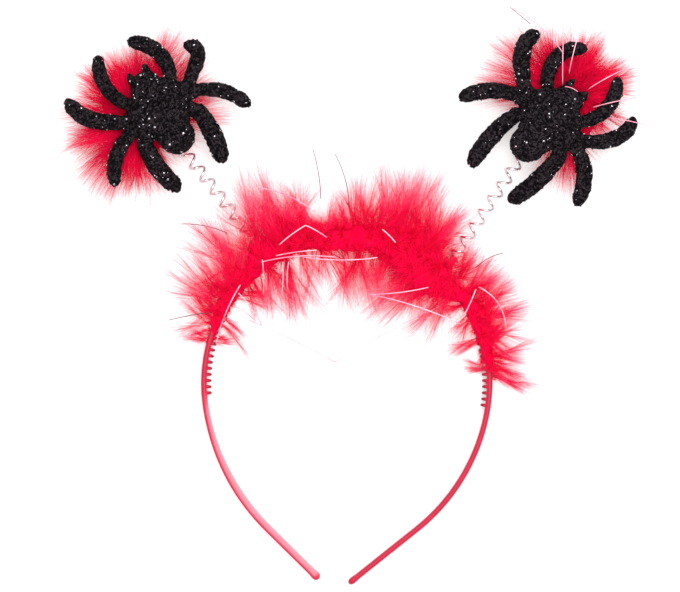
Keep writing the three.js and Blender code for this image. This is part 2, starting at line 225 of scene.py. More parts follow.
def newMaterial(name):
    # a material with no nodes yet
    material = bpy.data.materials.new(name)
    material.use_nodes = True
    material.node_tree.nodes.clear()
    return material, material.node_tree


def closeMaterial(tree, settings, links):
    # the last two nodes: the shader, and the output that it feeds
    shader = addNode(tree, "ShaderNodeBsdfPrincipled", settings, links)
    addNode(tree, "ShaderNodeOutputMaterial", {}, {"Surface": shader.outputs["BSDF"]})


def grained(name, size, lumps, stops, settings, shine=None, bump=None):
    # one noise gives the colours and, where they are listed, the least and most roughness and the bumps
    material, tree = newMaterial(name)
    grain = noise(tree, size, lumps)
    links = {"Base Color": ramp(tree, grain, stops)}
    if shine is not None:
        links["Roughness"] = between(tree, grain, *shine)
    if bump is not None:
        links["Normal"] = relief(tree, grain, *bump)
    closeMaterial(tree, settings, links)
    return material


# Hair band
hairBand = {
    "crownTop": 70.2,
    "arcs": [  # radius and sweep on the left arm and on the right, from the crown outwards
        {"left": (62.3, 66.8), "right": (62.3, 66.8)},
        {"left": (69.0, 32.6), "right": (69.0, 32.6)},
        {"left": (96.0, 36.0), "right": (85.5, 42.0)},
    ],
    "straight": {"left": 31.5, "right": 38.5},
    "wide": 7.0,
    "thick": 2.6,
    "edgePower": 3.4,
    "lean": {"from": 106.0, "to": 150.0, "angle": 11.0},  # the left arm turns its inner side up
    "tip": {"round": 1.7, "swell": 0.16, "swellAt": 2.4, "swellWide": 1.5},
    "step": 1.3,
    "sides": 28,
    # tints from 0 dark to 1 pale: plain is the band's own red; the darker ridge along the top is painted
    # shade, the left arm's pale inner side a painted highlight and the dark line beside it painted shade;
    # tip is the tips' darker red
    "tint": {"plain": 0.48, "ridgeShade": 0.24, "pale": 0.88, "line": 0.7, "tip": 0.3},
    "tintTurn": {"ridgeShade": (90.0, 34.0), "line": (66.0, 26.0)},  # middle and width, degrees from outside
    "tintAlong": {"pale": (100.0, 114.0), "tip": (0.5, 3.0)},  # from the crown on the left, from either end
}
combTeeth = {
    "from": -105.0,
    "to": 113.0,
    "pitch": 2.8,
    "height": 2.0,
    "sunk": 0.5,
    "root": 1.6,
    "wide": 5.4,
    "edgePower": 3.0,
    "sides": 12,
    "cap": 0.12,
    "tint": 0.5,
    "profile": [(0, 1.0), (0.35, 0.94), (0.65, 0.84), (0.88, 0.68), (1, 0.38)],  # share of the height, size
}
springPost = {"radius": 1.75, "length": 9.0, "sides": 16}
coilSpring = {
    "left": {"foot": -36.0, "head": (-75.6, 112.2, 10.9)},
    "right": {"foot": 46.9, "head": (79.7, 110.0, 10.9)},
    "radius": 2.6,
    "wire": 1.2,
    "turns": 9,
    "start": 3.2,
    "stepsInTurn": 30,
    "sides": 8,
    "pivot": 1 / 3,  # share of the spring below the point it sways about
    "sweep": 26.0,  # degrees each way that the down leaves free, one more than the sway
}


def bandAt(length):
    # centre line of the band: its arcs walked one after another from the crown, then straight on;
    # gives the point, the way outwards and the way along, with lengths negative on the left
    length = np.asarray(length, dtype=float)
    left = length < 0
    hand = np.where(left, -1.0, 1.0)
    rest = np.abs(length)
    heading, x = np.zeros_like(rest), np.zeros_like(rest)
    y = np.full_like(rest, hairBand["crownTop"])
    for arc in hairBand["arcs"]:
        radius = np.where(left, arc["left"][0], arc["right"][0])
        turn = np.minimum(rest / radius, np.radians(np.where(left, arc["left"][1], arc["right"][1])))
        x = x + radius * (np.sin(heading + turn) - np.sin(heading))
        y = y + radius * (np.cos(heading + turn) - np.cos(heading))
        heading = heading + turn
        rest = rest - turn * radius
    x, y = x + rest * np.cos(heading), y - rest * np.sin(heading)
    flat = np.zeros_like(x)
    point = np.stack([hand * x, y, flat], axis=-1)
    outward = np.stack([hand * np.sin(heading), np.cos(heading), flat], axis=-1)
    along = np.stack([outward[..., 1], -outward[..., 0], flat], axis=-1)
    return point, outward, along


def armLength(side):
    # arcs' radius times sweep, summed, and the straight end
    turned = sum(arc[side][0] * np.radians(arc[side][1]) for arc in hairBand["arcs"])
    return turned + hairBand["straight"][side]


def springAxis(side):
    # from the band's centre line, half-way up it, to the point under the spider
    start = bandAt(coilSpring[side]["foot"])[0] + up * hairBand["wide"] / 2
    travel = np.array(coilSpring[side]["head"]) - start
    length = np.linalg.norm(travel)
    level, rise = crossways(travel)
    return start, travel / length, length, level, rise


def bandTint(length, toTip, section):
    # 0 dark to 1 pale: painted shade as a darker ridge on top; on the left arm a painted highlight on the
    #                   pale inner side, past a painted shade line; dark tips
    tint, turn, reach = hairBand["tint"], hairBand["tintTurn"], hairBand["tintAlong"]
    angle = np.degrees(np.arctan2(section[:, 1], section[:, 0]))
    ridgeShade, line = (np.exp(-((angle - turn[k][0]) / turn[k][1]) ** 2) for k in ("ridgeShade", "line"))
    share = smoothRise(-length, *reach["pale"])
    plain = tint["plain"] - tint["ridgeShade"] * ridgeShade
    pale = tint["pale"] - tint["line"] * line
    mixed = plain * (1 - share) + pale * share
    return tint["tip"] + (mixed - tint["tip"]) * smoothRise(toTip, *reach["tip"])


def bandStrip():
    # rounded flat section carried along the centre line, leaning on the left arm, with swollen round tips
    tip, lean = hairBand["tip"], hairBand["lean"]
    first, last = -armLength("left"), armLength("right")
    fine = tip["round"] * (1 - np.cos(np.linspace(0, np.pi / 2, 9)))[1:]
    middle = np.arange(first + fine[-1] + hairBand["step"], last - fine[-1], hairBand["step"])
    length = np.concatenate([first + fine, middle, (last - fine)[::-1]])
    halves = hairBand["thick"] / 2, hairBand["wide"] / 2
    section = superEllipse(*halves, hairBand["edgePower"], hairBand["sides"])
    angle = np.radians(lean["angle"]) * smoothRise(-length, lean["from"], lean["to"])[:, None]
    across = section[:, 0] * np.cos(angle) + section[:, 1] * np.sin(angle)
    height = section[:, 1] * np.cos(angle) - section[:, 0] * np.sin(angle)
    toTip = np.minimum(length - first, last - length)[:, None]
    close = np.sqrt(np.clip(1 - (1 - np.minimum(toTip / tip["round"], 1)) ** 2, 0, 1))
    swell = 1 + tip["swell"] * np.exp(-((toTip - tip["swellAt"]) / tip["swellWide"]) ** 2)
    lift = -height.min(axis=1, keepdims=True)
    point, outward, _ = bandAt(length)
    rings = point[:, None] + outward[:, None] * (across * close * swell)[..., None]
    rings = rings + up * (lift + height * close)[..., None]
    ends = bandAt(np.array([first, last]))[0] + up * lift[[0, -1]]
    tint = np.append(bandTint(length[:, None], toTip, section), [hairBand["tint"]["tip"]] * 2)
    return skinTubes(rings[None], ends[:1], ends[1:]), tint


def bandTeeth():
    # each tooth is a rounded peg on the inner face: one section drawn in along its height by the profile
    length = np.arange(combTeeth["from"], combTeeth["to"], combTeeth["pitch"])
    point, outward, along = bandAt(length)
    halves = combTeeth["root"] / 2, combTeeth["wide"] / 2
    section = superEllipse(*halves, combTeeth["edgePower"], combTeeth["sides"])
    share, size = np.array(combTeeth["profile"]).T
    face = hairBand["thick"] / 2
    depth = face - combTeeth["sunk"] + share * (combTeeth["height"] + combTeeth["sunk"])
    centre = point[:, None] - outward[:, None] * depth[:, None] + up * hairBand["wide"] / 2
    wide = along[:, None, None] * (size[:, None] * section[:, 0])[..., None]
    high = up * (np.sqrt(size)[:, None] * section[:, 1])[..., None]
    rings = centre[:, :, None] + wide + high
    tint = np.append(np.repeat(combTeeth["tint"] * (1 - share), len(section)), [combTeeth["tint"], 0.0])
    cap = centre[:, -1] - outward * combTeeth["cap"]
    return skinTubes(rings, centre[:, 0], cap), np.tile(tint, len(length))


def bandPosts():
    # plain round pegs that the springs are pushed over
    axes = [springAxis(side) for side in ("left", "right")]
    start, travel, _, level, rise = (np.array(values) for values in zip(*axes))
    ends = start[:, None] + travel[:, None] * np.array([0, springPost["length"]])[:, None]
    ring = layOut(level, rise, circle(springPost["radius"], springPost["sides"]))
    return skinTubes(ends[:, :, None] + ring[:, None], ends[:, 0], ends[:, 1])


def mouldedPolystyrene():
    # injection-moulded polystyrene from a satin mould: soft gloss, faint flow streaks; the tint paints
    # shade and highlight into the colour, deep crimson as painted shade, pale salmon as painted highlight
    material, tree = newMaterial("mouldedRedPolystyrene")
    streak = noise(tree, 9.0, {"Detail": 3.0})
    tint = addNode(tree, "ShaderNodeAttribute", {"attribute_name": "tint"}, {})
    flow = addNode(tree, "ShaderNodeMath", {"operation": "MULTIPLY_ADD", 1: 0.16, 2: -0.08}, {0: streak})
    mixed = addNode(tree, "ShaderNodeMath", {"operation": "ADD"},
                    {0: tint.outputs["Fac"], 1: flow.outputs["Value"]})
    # the lower stops hold the painted shade of the ridge and the line, and the dark tips; the top stop
    # holds the painted highlight of the left arm's inner side
    colour = ramp(tree, mixed.outputs["Value"],
                  [(0.0, "#6A0A22"), (0.25, "#A60C30"), (0.5, "#C82846"), (1.0, "#E88C98")])
    grain = relief(tree, noise(tree, 1.2, {"Detail": 2.0}), 0.06, 0.1)
    gloss = {"IOR": 1.59, "Specular IOR Level": 0.14, "Coat Weight": 0.04, "Coat Roughness": 0.2}
    closeMaterial(tree, gloss,
                  {"Base Color": colour, "Roughness": between(tree, streak, 0.34, 0.5), "Normal": grain})
    return material


(stripMesh, stripTint), (teethMesh, teethTint), postsMesh = bandStrip(), bandTeeth(), bandPosts()
postsTint = np.full(len(postsMesh[0]), hairBand["tint"]["plain"])
bandPiece = putPiece("hair_band", *joinParts([stripMesh, teethMesh, postsMesh]), mouldedPolystyrene(),
                     "band_plastic", tint=np.concatenate([stripTint, teethTint, postsTint]))
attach(bandPiece, "headband")
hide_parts("band")


# Coil springs
def springCoil(side):
    # helix about the spring's axis: radius level and up turned by the angle, climbing evenly
    start, travel, length, level, rise = springAxis(side)
    radius, turns, foot = coilSpring["radius"], coilSpring["turns"], coilSpring["start"]
    share = np.linspace(0, 1, turns * coilSpring["stepsInTurn"] + 1)[:, None]
    angle = 2 * np.pi * turns * share
    run = length - foot
    radial = level * np.cos(angle) + rise * np.sin(angle)
    centre = start + travel * (foot + run * share) + radial * radius
    around = (rise * np.cos(angle) - level * np.sin(angle)) * radius
    wireWay = unit(around + travel * run / (2 * np.pi * turns))
    section = circle(coilSpring["wire"] / 2, coilSpring["sides"])
    rings = centre[:, None] + layOut(radial, np.cross(wireWay, radial), section)
    return skinTubes(rings[None], centre[:1], centre[-1:])


def platedWire():
    # nickel-plated spring steel, drawn wire: bright, with fine draw lines that break up the highlight
    return grained("platedSpringSteel", 0.6, {"Detail": 4.0}, [(0.3, "#CFC4C8"), (0.7, "#E6DDE0")],
                   {"Metallic": 1.0}, shine=(0.14, 0.34))


wireMaterial = platedWire()
for side in ("left", "right"):
    springPoints, springFaces = springCoil(side)
    springPiece = putPiece(f"coil_spring_{side}", springPoints, springFaces, wireMaterial, "spring_steel")
    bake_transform(springPiece)
    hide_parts(f"spring_{side}")


# Glitter spiders
spider = {
    "left": {"centre": (-81.5, 125.0), "heading": 121.7},
    "right": {"centre": (88.4, 120.2), "heading": 48.0},
    "base": 14.0,
    "ball": (14, 28),  # rings and corners of the body's ellipsoids
    "body": [  # place towards the head, then half sizes across, along and up
        {"y": 2.0, "size": (14.5, 12.0, 4.6)},
        {"y": 12.5, "size": (7.0, 6.2, 3.9)},
        {"y": -8.0, "size": (9.2, 7.6, 5.0)},
        {"y": -13.4, "size": (8.1, 8.1, 5.6)},
    ],
    "feeler": {"x": 4.0, "y": 18.2, "radius": 1.9, "length": 5.6, "z": 3.5, "sides": 12},
    "feelerProfile": [(0, 1.0), (0.5, 0.95), (0.85, 0.75), (1.0, 0.4)],  # share of the length, size
    "legHeight": 5.0,
    "legStart": 0.45,
    "legSteps": 84,
    "legLead": 6,  # rings inside the body
    "legSides": 16,
    "legShape": (0.88, 0.2, 1.35),  # width at the root, swell half-way, length of the nose in half widths
    "legPower": 2.2,
    "sweep": (18.0, 63.0, 1.0),  # the legs' least distance from the pivot, angle swept, room below them
    "voxel": 0.56,
    "smoothing": 4,
    "lump": {"size": 0.2, "length": 4.2},
    "grain": {"size": 0.2, "length": 1.7},
    "seed": 31,
}
# hand is the side of the body, x and y the root; heading and bend, in degrees, are as on the right;
# the bend grows with this power of the length, late, and ends at this share of it, done
legColumns = ("hand", "x", "y", "wide", "heading", "bend", "length", "late", "done")
spiderLegs = {
    "left": [
        (-1, 10.5, 9.2, 6.0, 50, 82, 28.0, 1, 1),
        (-1, 17, 4, 7.0, 32, 72, 28.5, 2, 1),
        (-1, 16.8, -2, 6.4, -12, -62, 25.0, 1, 1),
        (-1, 13.6, -8, 7.8, -79, -34, 27.0, 1, 1),
        (1, 10.8, 9.4, 6.6, 62, 94, 28.0, 1, 1),
        (1, 17.2, 4, 6.4, 38, 105, 21.5, 5, 0.8),
        (1, 18.4, -1, 6.2, -22, -55, 24.8, 1, 1),
        (1, 13.6, -8, 7.8, -82, -28, 26.5, 1, 1),
    ],
    "right": [
        (-1, 9.4, 10.3, 6.4, 33, 120, 29.5, 1, 1),
        (-1, 18, 4, 7.2, 40, 112, 27.5, 3, 1),
        (-1, 18, -1, 6.8, -21, -50, 26.3, 1, 1),
        (-1, 12.4, -7, 7.4, -76, -30, 31.5, 1, 1),
        (1, 10.8, 9.4, 6.2, 49, 92, 28.0, 1, 1),
        (1, 17.9, 4, 6.6, 41, 95, 26.4, 2.1, 1),
        (1, 18, -1, 6.8, -19, -64, 25.6, 1, 1),
        (1, 13.4, -7, 7.6, -82, -28, 31.7, 1, 1),
    ],
}
glitter = {
    "count": 1800,
    "radius": (0.22, 0.66),
    "tilt": 0.5,
    "rise": 0.05,
    "dome": 0.01,
    "sunk": 0.25,
    "sides": 6,
    "mapSize": 0.006,  # of a flake in the uv, and the margin round them all
    "mapEdge": 0.01,
}


def spiderBlob(row):
    # ellipsoid from latitude rings, standing on the spider's flat back
    size = np.array(row["size"])
    centre = np.array([0.0, row["y"], size[2]])
    rings = ball(*spider["ball"]) * size + centre
    return skinTubes(rings[None], (centre - up * size)[None], (centre + up * size)[None])


def spiderLeg(row):
    # path: a start inside the body, then small steps whose heading turns by bend * (t / done)^late; the
    # round section swells by a sine over the leg's length and closes in a round nose
    leg = dict(zip(legColumns, row))
    hand, length, half = leg["hand"], leg["length"], leg["wide"] / 2
    steps, lead = spider["legSteps"], spider["legLead"]
    share = np.linspace(0, 1, steps + 1)
    angle = np.radians(leg["heading"] + leg["bend"] * np.minimum(share / leg["done"], 1) ** leg["late"])
    way = np.stack([hand * np.cos(angle), np.sin(angle), np.zeros_like(angle)], axis=-1)
    root = np.array([hand * leg["x"], leg["y"], spider["legHeight"] / 2])
    path = root + np.concatenate([np.zeros((1, 3)), np.cumsum(way[:-1] * length / steps, axis=0)])
    start = root * np.array([spider["legStart"], spider["legStart"], 1.0])
    inner = start + (root - start) * np.linspace(0, 1, lead, endpoint=False)[:, None]
    path = np.concatenate([inner, path])
    travel = np.concatenate([np.repeat(unit(root - start)[None], lead, axis=0), way])
    thin, swell, nose = spider["legShape"]
    toTip = np.concatenate([np.full(lead, length), length * (1 - share)])
    close = np.sqrt(np.clip(1 - (1 - np.minimum(toTip / (half * nose), 1)) ** 2, 0.02, 1))
    close = close * (thin + swell * np.sin(np.pi * (1 - toTip / length)))
    section = superEllipse(half, spider["legHeight"] / 2, spider["legPower"], spider["legSides"])
    rings = path[:, None] + layOut(*crossways(travel), section) * close[:, None, None]
    return skinTubes(rings[None], path[:1], path[-1:])


def spiderFeelers():
    # two short stubs in front of the head, blunt at the tip
    feeler = spider["feeler"]
    forward = np.array([0.0, 1.0, 0.0])
    share, size = np.array(spider["feelerProfile"]).T
    ends = np.array([[hand * feeler["x"], feeler["y"], feeler["z"]] for hand in (-1, 1)])
    path = ends[:, None] + forward * (share[:, None] - 0.5) * feeler["length"]
    ring = layOut(*crossways(forward), circle(feeler["radius"], feeler["sides"]))
    return skinTubes(path[:, :, None] + ring * size[:, None, None], path[:, 0], path[:, -1])


def fuseSkin(points, faceSets, voxel, smoothing):
    # one closed skin over pieces that run into each other: voxel remesh, smoothed, read back as arrays
    mesh = bpy.data.meshes.new("fusing")
    fillMesh(mesh, points, faceSets)
    blank = bpy.data.objects.new("fusing", mesh)
    bpy.context.collection.objects.link(blank)
    remesh = blank.modifiers.new("fuse", "REMESH")
    remesh.mode, remesh.voxel_size = "VOXEL", voxel
    soften = blank.modifiers.new("soften", "SMOOTH")
    soften.factor, soften.iterations = 0.5, smoothing
    fused = bpy.data.meshes.new_from_object(blank.evaluated_get(bpy.context.evaluated_depsgraph_get()))
    place, normal = (np.empty(len(fused.vertices) * 3, dtype=np.float32) for _ in range(2))
    fused.vertices.foreach_get("co", place)
    fused.vertices.foreach_get("normal", normal)
    corners = np.empty(len(fused.loops), dtype=np.int32)
    fused.loops.foreach_get("vertex_index", corners)
    bpy.data.objects.remove(blank)
    for spare in (mesh, fused):
        bpy.data.meshes.remove(spare)
    return place.reshape(-1, 3).astype(float), normal.reshape(-1, 3).astype(float), corners.reshape(-1, 4)


def glitterFlakes(points, quads, draw):
    # hexagons scattered by area, tilted off the skin, each closed by a point sunk into the foam
    count, edge = glitter["count"], glitter["mapEdge"]
    corner = points[quads]
    normal = np.cross(corner[:, 2] - corner[:, 0], corner[:, 3] - corner[:, 1])
    area = np.linalg.norm(normal, axis=-1)
    chosen = draw.choice(len(quads), count, p=area / area.sum())
    a, b = draw.random((2, count, 1))
    four = corner[chosen]
    near = (1 - a) * four[:, 0] + a * four[:, 1]
    far = (1 - a) * four[:, 3] + a * four[:, 2]
    spot = (1 - b) * near + b * far
    face = unit(unit(normal[chosen]) + draw.normal(0, glitter["tilt"], (count, 3)))
    side = unit(np.cross(face, unit(draw.normal(size=face.shape))))
    radius = draw.uniform(*glitter["radius"], (count, 1, 1))
    hexagon = circle(1.0, glitter["sides"])
    middle = spot + face * glitter["rise"]
    rings = middle[:, None] + radius * layOut(side, np.cross(face, side), hexagon)
    # the tone picks each flake's colour from the film's ramp; the top few are the painted glints
    tone = draw.random(count)
    place = np.stack([tone, draw.random(count)], axis=-1) * (1 - 2 * edge) + edge
    offset = np.concatenate([hexagon * glitter["mapSize"], np.zeros((2, 2))])
    flakes = skinTubes(rings[:, None], spot - face * glitter["sunk"], middle + face * glitter["dome"])
    return flakes, (place[:, None] + offset).reshape(-1, 2)


def glitterFoam():
    # moulded foam in a coat of black glitter glue: dull black, crumbly to a millimetre, brown-black patches
    material, tree = newMaterial("glitterCoatedFoam")
    place = addNode(tree, "ShaderNodeTexCoord", {}, {})
    crumb = addNode(tree, "ShaderNodeTexVoronoi", {"Scale": 1 / (0.7 * drawing["mm"])},
                    {"Vector": place.outputs["Object"]})
    depth = crumb.outputs["Distance"]
    grit = addNode(tree, "ShaderNodeSeparateColor", {}, {"Color": crumb.outputs["Color"]})
    mixed = addNode(tree, "ShaderNodeMath", {"operation": "MULTIPLY_ADD", 1: 0.45},
                    {0: noise(tree, 4.0, {"Detail": 5.0}), 2: grit.outputs["Red"]})
    colour = ramp(tree, mixed.outputs["Value"], [(0.2, "#020102"), (0.75, "#0D090C"), (1.0, "#2A2427")])
    closeMaterial(tree, {"Specular IOR Level": 0.03},
                  {"Base Color": colour, "Roughness": between(tree, depth, 0.3, 0.75),
                   "Normal": relief(tree, depth, 0.9, 0.5)})
    return material


def glitterFilm():
    # cut polyester film, metallised black: most flakes stay dark; a few, picked at random, are coloured
    # near-white silver as painted glints, bright whichever way they face
    material, tree = newMaterial("metallisedGlitterFlakes")
    tone, polish = ownMap(tree)
    colour = ramp(tree, tone, [(0.0, "#0A090B"), (0.6, "#1C191E"), (0.84, "#4A464C"), (0.915, "#F4F0F6")])
    closeMaterial(tree, {"Metallic": 1.0},
                  {"Base Color": colour, "Roughness": between(tree, polish, 0.12, 0.4)})
    return material


def placeSpider(side, points):
    # turn about the upright so that the head points along its heading, then move to its centre
    angle = np.radians(spider[side]["heading"] - 90)
    turn = np.array([[np.cos(angle), -np.sin(angle), 0], [np.sin(angle), np.cos(angle), 0], [0, 0, 1]])
    return points @ turn.T + np.array([*spider[side]["centre"], spider["base"]])


foamMaterial, filmMaterial = glitterFoam(), glitterFilm()
for side in ("left", "right"):
    draw = np.random.default_rng(spider["seed"] + len(side))
    parts = [spiderBlob(row) for row in spider["body"]]
    parts += [spiderLeg(row) for row in spiderLegs[side]]
    parts.append(spiderFeelers())
    skin, normal, quads = fuseSkin(*joinParts(parts), spider["voxel"], spider["smoothing"])
    bumps = [row["size"] * waves(skin, row["length"], draw) for row in (spider["lump"], spider["grain"])]
    skin = skin + normal * sum(bumps)[:, None]
    spiderPiece = putPiece(f"glitter_spider_{side}", placeSpider(side, skin), [quads], foamMaterial,
                           "spider_glitter")
    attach(spiderPiece, f"bopper_{side}")
    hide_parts(f"spider_{side}")
    (flakes, flakeFaces), flakeUv = glitterFlakes(skin, quads, draw)
    flakePiece = putPiece(f"glitter_flakes_{side}", placeSpider(side, flakes), flakeFaces[1:], filmMaterial,
                          "spider_glitter", flakeUv)
    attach(flakePiece, f"bopper_{side}")


# Marabou down
downLooks = {  # a plume's barbs, how they spread at its root and tip in degrees, and how thick they are
    "dense": {"barbs": 50, "points": 3, "quill": 0.6, "barb": 0.6, "spread": (60, 26), "roll": 0.9,
              "curl": 0.45, "droop": 0.0, "thick": 0.08, "kink": 0.26, "pale": 0.34},
    "fringe": {"barbs": 52, "points": 4, "quill": 0.6, "barb": 0.66, "spread": (20, 8), "roll": 0.9,
               "curl": 0.24, "droop": 0.04, "thick": 0.045, "kink": 0.16, "pale": 0.9},
}
downLooks["cover"] = {**downLooks["dense"], "barbs": 34}  # hides the boa's roll where dense plumes are few
barbShape = {
    "lengths": (0.55, 1.2),  # scatter, as factors, of lengths, spreads and thickness
    "spreads": (0.6, 1.3),
    "thickness": (0.7, 1.2),
    "shortest": 0.45,  # of the longest, along the quill's sine
    "sine": (0.2, 0.7),  # where that sine starts and how far it runs, in half turns
    "onward": 0.45,  # bend towards the plume's tip
    "bend": 0.6,
    "taper": 0.6,
    "fadePower": 1.3,  # pale only near the tips
    "floorClear": 0.25,
    "floorScatter": 0.4,
}


def plumeBarbs(draw, root, way, reach, look):
    # quill: root + reach * (way * t + curl * t^2 / 2). Barbs leave both its sides, wide at the root and
    # close at the tip, and bend on towards the tip: base + length * (out * u + bend * u^2)
    count, barbs, points = len(root), look["barbs"], look["points"]
    curl = draw.normal(0, look["curl"], (count, 3)) - up * look["droop"]
    share = (np.arange(barbs) + draw.random((count, barbs))) / barbs
    t = share[..., None]
    quill = (reach * look["quill"])[:, None, None]
    base = root[:, None] + quill * (way[:, None] * t + curl[:, None] * t * t / 2)
    along = unit(way[:, None] + curl[:, None] * t)
    flat = unit(np.cross(along, unit(draw.normal(size=(count, 3)))[:, None]))
    lift = np.cross(along, flat)
    hand = np.where(draw.random((count, barbs, 1)) < 0.5, -1.0, 1.0)
    roll = draw.normal(0, look["roll"], (count, barbs, 1))
    wide, close = np.radians(look["spread"])
    spread = (wide + (close - wide) * t) * draw.uniform(*barbShape["spreads"], (count, barbs, 1))
    out = along * np.cos(spread) + (flat * hand * np.cos(roll) + lift * np.sin(roll)) * np.sin(spread)
    bend = along * barbShape["onward"] + draw.normal(0, look["kink"], (count, barbs, 3))
    first, run = barbShape["sine"]
    shortest = barbShape["shortest"]
    fullness = shortest + (1 - shortest) * np.sin(np.pi * (first + run * share))
    length = reach[:, None] * look["barb"] * fullness * draw.uniform(*barbShape["lengths"], (count, barbs))
    u = np.linspace(0, 1, points)[:, None]
    curve = out[:, :, None] * u + bend[:, :, None] * u * u * barbShape["bend"]
    path = base[:, :, None] + length[..., None, None] * curve
    tone = np.repeat(draw.random(count), barbs)
    fade = look["pale"] * (0.5 * share[..., None] + 0.5 * u[:, 0]) ** barbShape["fadePower"]
    return path.reshape(-1, points, 3), tone, fade.reshape(-1, points)


def barbTubes(path, tone, fade, thick, draw):
    # each barb a three-cornered tube that tapers along its path to a point; uv holds dye lot, with the
    # puffs' painted shade, and place along it
    path, count, ringCount = path.copy(), len(path), path.shape[1] - 1
    ground = barbShape["floorClear"] + barbShape["floorScatter"] * draw.random(path.shape[:2])
    path[..., 2] = np.maximum(path[..., 2], ground)
    travel = unit(path[:, 1:] - path[:, :-1] + 1e-9)
    side = unit(np.cross(travel, unit(draw.normal(size=(count, 1, 3)))))
    taper = 1 - barbShape["taper"] * np.linspace(0, 1, ringCount + 1)[:-1]
    taper = thick * draw.uniform(*barbShape["thickness"], (count, 1)) * taper
    ring = layOut(side, np.cross(travel, side), circle(1.0, 3))
    rings = path[:, :-1, None] + ring * taper[..., None, None]
    points = np.concatenate([rings.reshape(count, -1, 3), path[:, -1:]], axis=1)
    around = np.arange(3)
    onward = np.roll(around, -1)
    low = np.arange(ringCount - 1)[:, None] * 3
    high = low + 3
    sides = np.stack([low + around, low + onward, high + onward, high + around], axis=-1)
    end = ringCount * 3
    tips = np.stack([around + end - 3, onward + end - 3, np.full(3, end)], axis=-1)
    closed = np.concatenate([tips, [[0, 2, 1]]])
    start = np.arange(count)[:, None, None] * (end + 1)
    faceSets = [(start + sides.reshape(1, -1, 4)).reshape(-1, 4), (start + closed[None]).reshape(-1, 3)]
    across = 0.02 + 0.94 * tone[:, None] + np.array([0.0, 0.01, 0.02])
    ringUv = np.stack(np.broadcast_arrays(across[:, None], fade[:, :-1, None]), axis=-1)
    tipUv = np.stack([across[:, 1], fade[:, -1]], axis=-1)
    uv = np.concatenate([ringUv.reshape(count, -1, 2), tipUv[:, None]], axis=1)
    return (points.reshape(-1, 3), faceSets), uv.reshape(-1, 2)


def clearOfSway(path, side):
    # barbs that nothing meets as the spring sways: outside the wedge that the coil sweeps beyond its pivot,
    # and below the legs in the sector that they sweep
    start, travel, length, level, _ = springAxis(side)
    flatWay = unit(travel * np.array([1, 1, 0]))
    rest = path - (start + travel * length * coilSpring["pivot"])
    ahead = rest @ flatWay
    aside = np.abs(rest @ level)
    above = np.abs(rest[..., 2] - ahead * travel[2] / np.hypot(*travel[:2]))
    room = coilSpring["radius"] + coilSpring["wire"]
    wedge = aside < room + ahead * np.tan(np.radians(coilSpring["sweep"]))
    coil = (ahead > 0) & wedge & (above < room)
    near, wide, under = spider["sweep"]
    sector = (np.hypot(ahead, aside) > near) & (aside < ahead * np.tan(np.radians(wide)))
    legs = sector & (path[..., 2] > spider["base"] - under)
    return ~(coil | legs).any(axis=1)


def dyedMarabou():
    # dyed marabou down, barbs without hooks: matt, deep crimson where it is thick, paler at the thin tips
    material, tree = newMaterial("dyedMarabouDown")
    tone, place = ownMap(tree)
    fade = ramp(tree, place, [(0.0, "#FF044C"), (0.36, "#FF105A"), (0.62, "#FF5480"), (1.0, "#FFC8D6")])
    # the dye lots run from a half up; below a half this ramp darkens the puffs' down as painted shade
    dyeAndShade = ramp(tree, tone, [(0.0, "#CCB0B8"), (0.4, "#E8D0D6"), (0.5, "#FFD8DE"), (1.0, "#FFFFFF")])
    colour = addNode(tree, "ShaderNodeMix", {"data_type": "RGBA", "blend_type": "MULTIPLY", 0: 1.0},
                     {6: fade, 7: dyeAndShade})
    closeMaterial(tree, {"Roughness": 0.85, "Specular IOR Level": 0.1}, {"Base Color": colour.outputs[2]})
    return material


def packedDown(name, low, high):
    # down packed close at the quills: the same dye, deeper, in fine strokes
    return grained(name, 2.0, {"Detail": 6.0, "Distortion": 1.2}, [(0.3, low), (0.7, high)],
                   {"Roughness": 0.95, "Specular IOR Level": 0.05}, bump=(0.8, 0.8))


downMaterial = dyedMarabou()

# Feather boa
# how far dense down reaches out of the band, into the head space and up, and how far the fringe passes it
# outside and inside
boaColumns = ("along", "out", "into", "height", "fringe", "inner")
boaSections = np.array([
    (-86, 1, 3, 7, 11, 8), (-78, 2, 4, 11, 12, 12), (-66, 11, 5, 18, 25, 16), (-54, 15, 6, 22, 17, 9),
    (-44, 25, 7, 26, 12, 13), (-30, 25, 6, 27, 16, 20), (-18, 25, 7, 28, 17, 22), (-9, 9, 11, 25, 12, 20),
    (0, 9, 12, 24, 11, 18), (12, 19, 12, 28, 17, 14), (22, 20, 16, 27, 16, 12), (33, 26, 24, 28, 12, 9),
    (42, 14, 29, 26, 16, 7), (51, 2, 20, 22, 16, 9), (62, 9, 5, 21, 13, 17), (72, 18, 6, 21, 9, 13),
    (82, 9, 5, 18, 11, 7), (92, 7, 3, 13, 13, 8), (101, 2, 3, 8, 15, 6),
], dtype=float)
